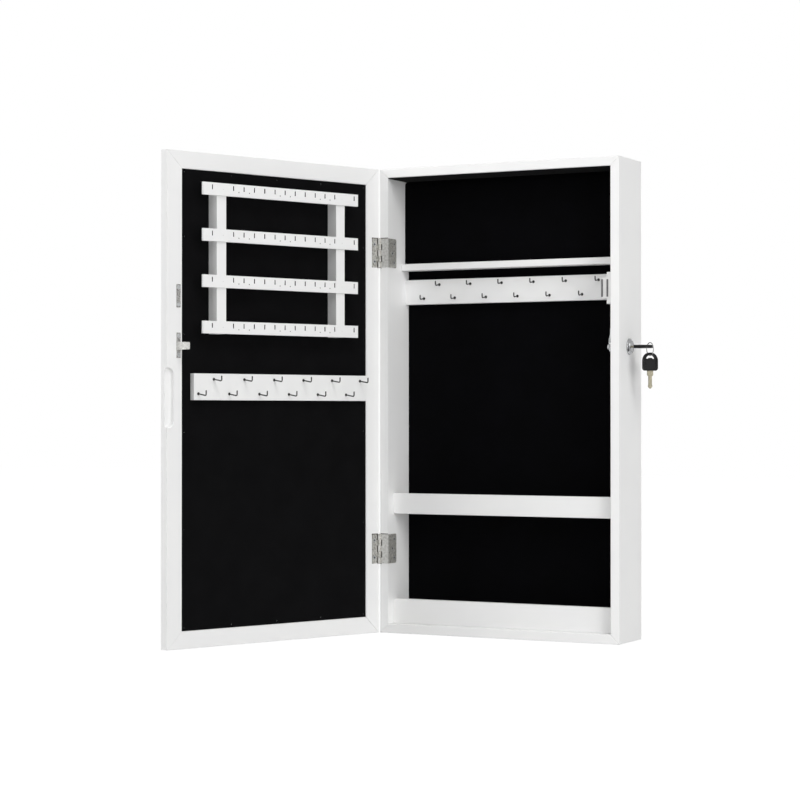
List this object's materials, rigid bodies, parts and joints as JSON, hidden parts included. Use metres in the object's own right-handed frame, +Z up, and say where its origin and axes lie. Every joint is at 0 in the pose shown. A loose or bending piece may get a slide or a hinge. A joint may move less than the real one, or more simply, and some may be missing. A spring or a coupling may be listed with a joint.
{
  "type": "jewelry mirror cabinet",
  "caption": "Shallow white wall cabinet with a mirror door on butt hinges, hooks, earring rack, trays, magnetic catch and a cam lock with keys.",
  "frame": {"origin": "on the wall plane, half way between the entry holes of the two hanging keyholes", "axes": "+X to the right as one faces the cabinet, +Y from the front to the wall, +Z up"},
  "size_m": [0.5655, 0.4281, 0.67],
  "materials": {
    "white_lacquer": "satin white lacquer on fibreboard",
    "black_velvet": "short black velvet on card",
    "hardboard": "bare hardboard",
    "mirror": "silvered glass",
    "nickel_steel": "bright nickel plate",
    "plated_wire": "bright plated wire",
    "zinc_steel": "zinc plate",
    "white_plastic": "moulded white plastic",
    "ferrite": "sintered ferrite",
    "chrome_lock": "polished chrome plate",
    "nickel_silver": "milled nickel silver",
    "black_plastic": "moulded black plastic"
  },
  "bodies": {
    "carcass": {"side_panel_left": "white_lacquer", "side_panel_right": "white_lacquer", "top_panel": "white_lacquer", "bottom_panel": "white_lacquer", "back_board": "hardboard", "back_lining": "black_velvet", "top_pad": "black_velvet", "top_shelf": "white_lacquer", "middle_shelf": "white_lacquer", "middle_rail": "white_lacquer", "bottom_rail": "white_lacquer", "cabinet_hook_rail": "white_lacquer", "cabinet_hooks": "plated_wire", "upper_hanging_rail": "white_lacquer", "lower_hanging_rail": "white_lacquer", "hanger_plate_left": "zinc_steel", "hanger_plate_right": "zinc_steel", "hanger_screws": "zinc_steel", "cabinet_hinge_leaf_lower": "nickel_steel", "cabinet_hinge_leaf_upper": "nickel_steel", "hinge_pin_lower": "nickel_steel", "hinge_pin_upper": "nickel_steel", "cabinet_hinge_screws": "zinc_steel", "catch_body": "white_plastic", "catch_pole_plates": "zinc_steel", "catch_magnet": "ferrite", "catch_screws": "zinc_steel", "lock_barrel": "chrome_lock", "lock_nut": "zinc_steel"},
    "door": {"door_stile_hinge": "white_lacquer", "door_stile_free": "white_lacquer", "door_rail_top": "white_lacquer", "door_rail_bottom": "white_lacquer", "mirror_glass": "mirror", "backing_board": "hardboard", "door_lining": "black_velvet", "lining_brads": "zinc_steel", "rack_post_hinge": "white_lacquer", "rack_post_free": "white_lacquer", "earring_bar_1": "white_lacquer", "earring_bar_2": "white_lacquer", "earring_bar_3": "white_lacquer", "earring_bar_4": "white_lacquer", "rack_pins": "zinc_steel", "door_hook_rail": "white_lacquer", "door_hooks": "plated_wire", "door_hinge_leaf_lower": "nickel_steel", "door_hinge_leaf_upper": "nickel_steel", "door_hinge_screws": "zinc_steel", "catch_strike": "nickel_steel", "lock_strike": "nickel_steel", "strike_screws": "zinc_steel"},
    "lock_plug": {"lock_plug": "chrome_lock", "lock_cam": "zinc_steel", "cam_screw": "zinc_steel"},
    "key": {"key_blade": "nickel_silver", "key_bow": "black_plastic"},
    "key_ring": {"key_ring": "plated_wire"},
    "spare_key": {"spare_key_blade": "nickel_silver", "spare_key_bow": "black_plastic"}
  },
  "joints": [
    {"name": "door_hinge", "type": "hinge", "parent": "carcass", "child": "door", "pos_m": [-0.1854, -0.085, -0.299], "axis": [0, 0, 1], "range_deg": [-58, 112]},
    {"name": "lock_turn", "type": "hinge", "parent": "carcass", "child": "lock_plug", "pos_m": [0.185, -0.0456, -0.225], "axis": [1, 0, 0], "range_deg": [0, 90]},
    {"name": "key_withdraw", "type": "slide", "parent": "lock_plug", "child": "key", "axis": [1, 0, 0], "range_m": [0, 0.022]},
    {"name": "key_ring_swing", "type": "hinge", "parent": "key", "child": "key_ring", "pos_m": [0.2156, -0.05169, -0.225], "axis": [-0.6157, -0.788, 0], "range_deg": [0, 75]},
    {"name": "spare_key_swing", "type": "hinge", "parent": "key_ring", "child": "spare_key", "pos_m": [0.21862, -0.05405, -0.23781], "axis": [0.788, -0.6157, 0], "range_deg": [-45, 45]}
  ]
}
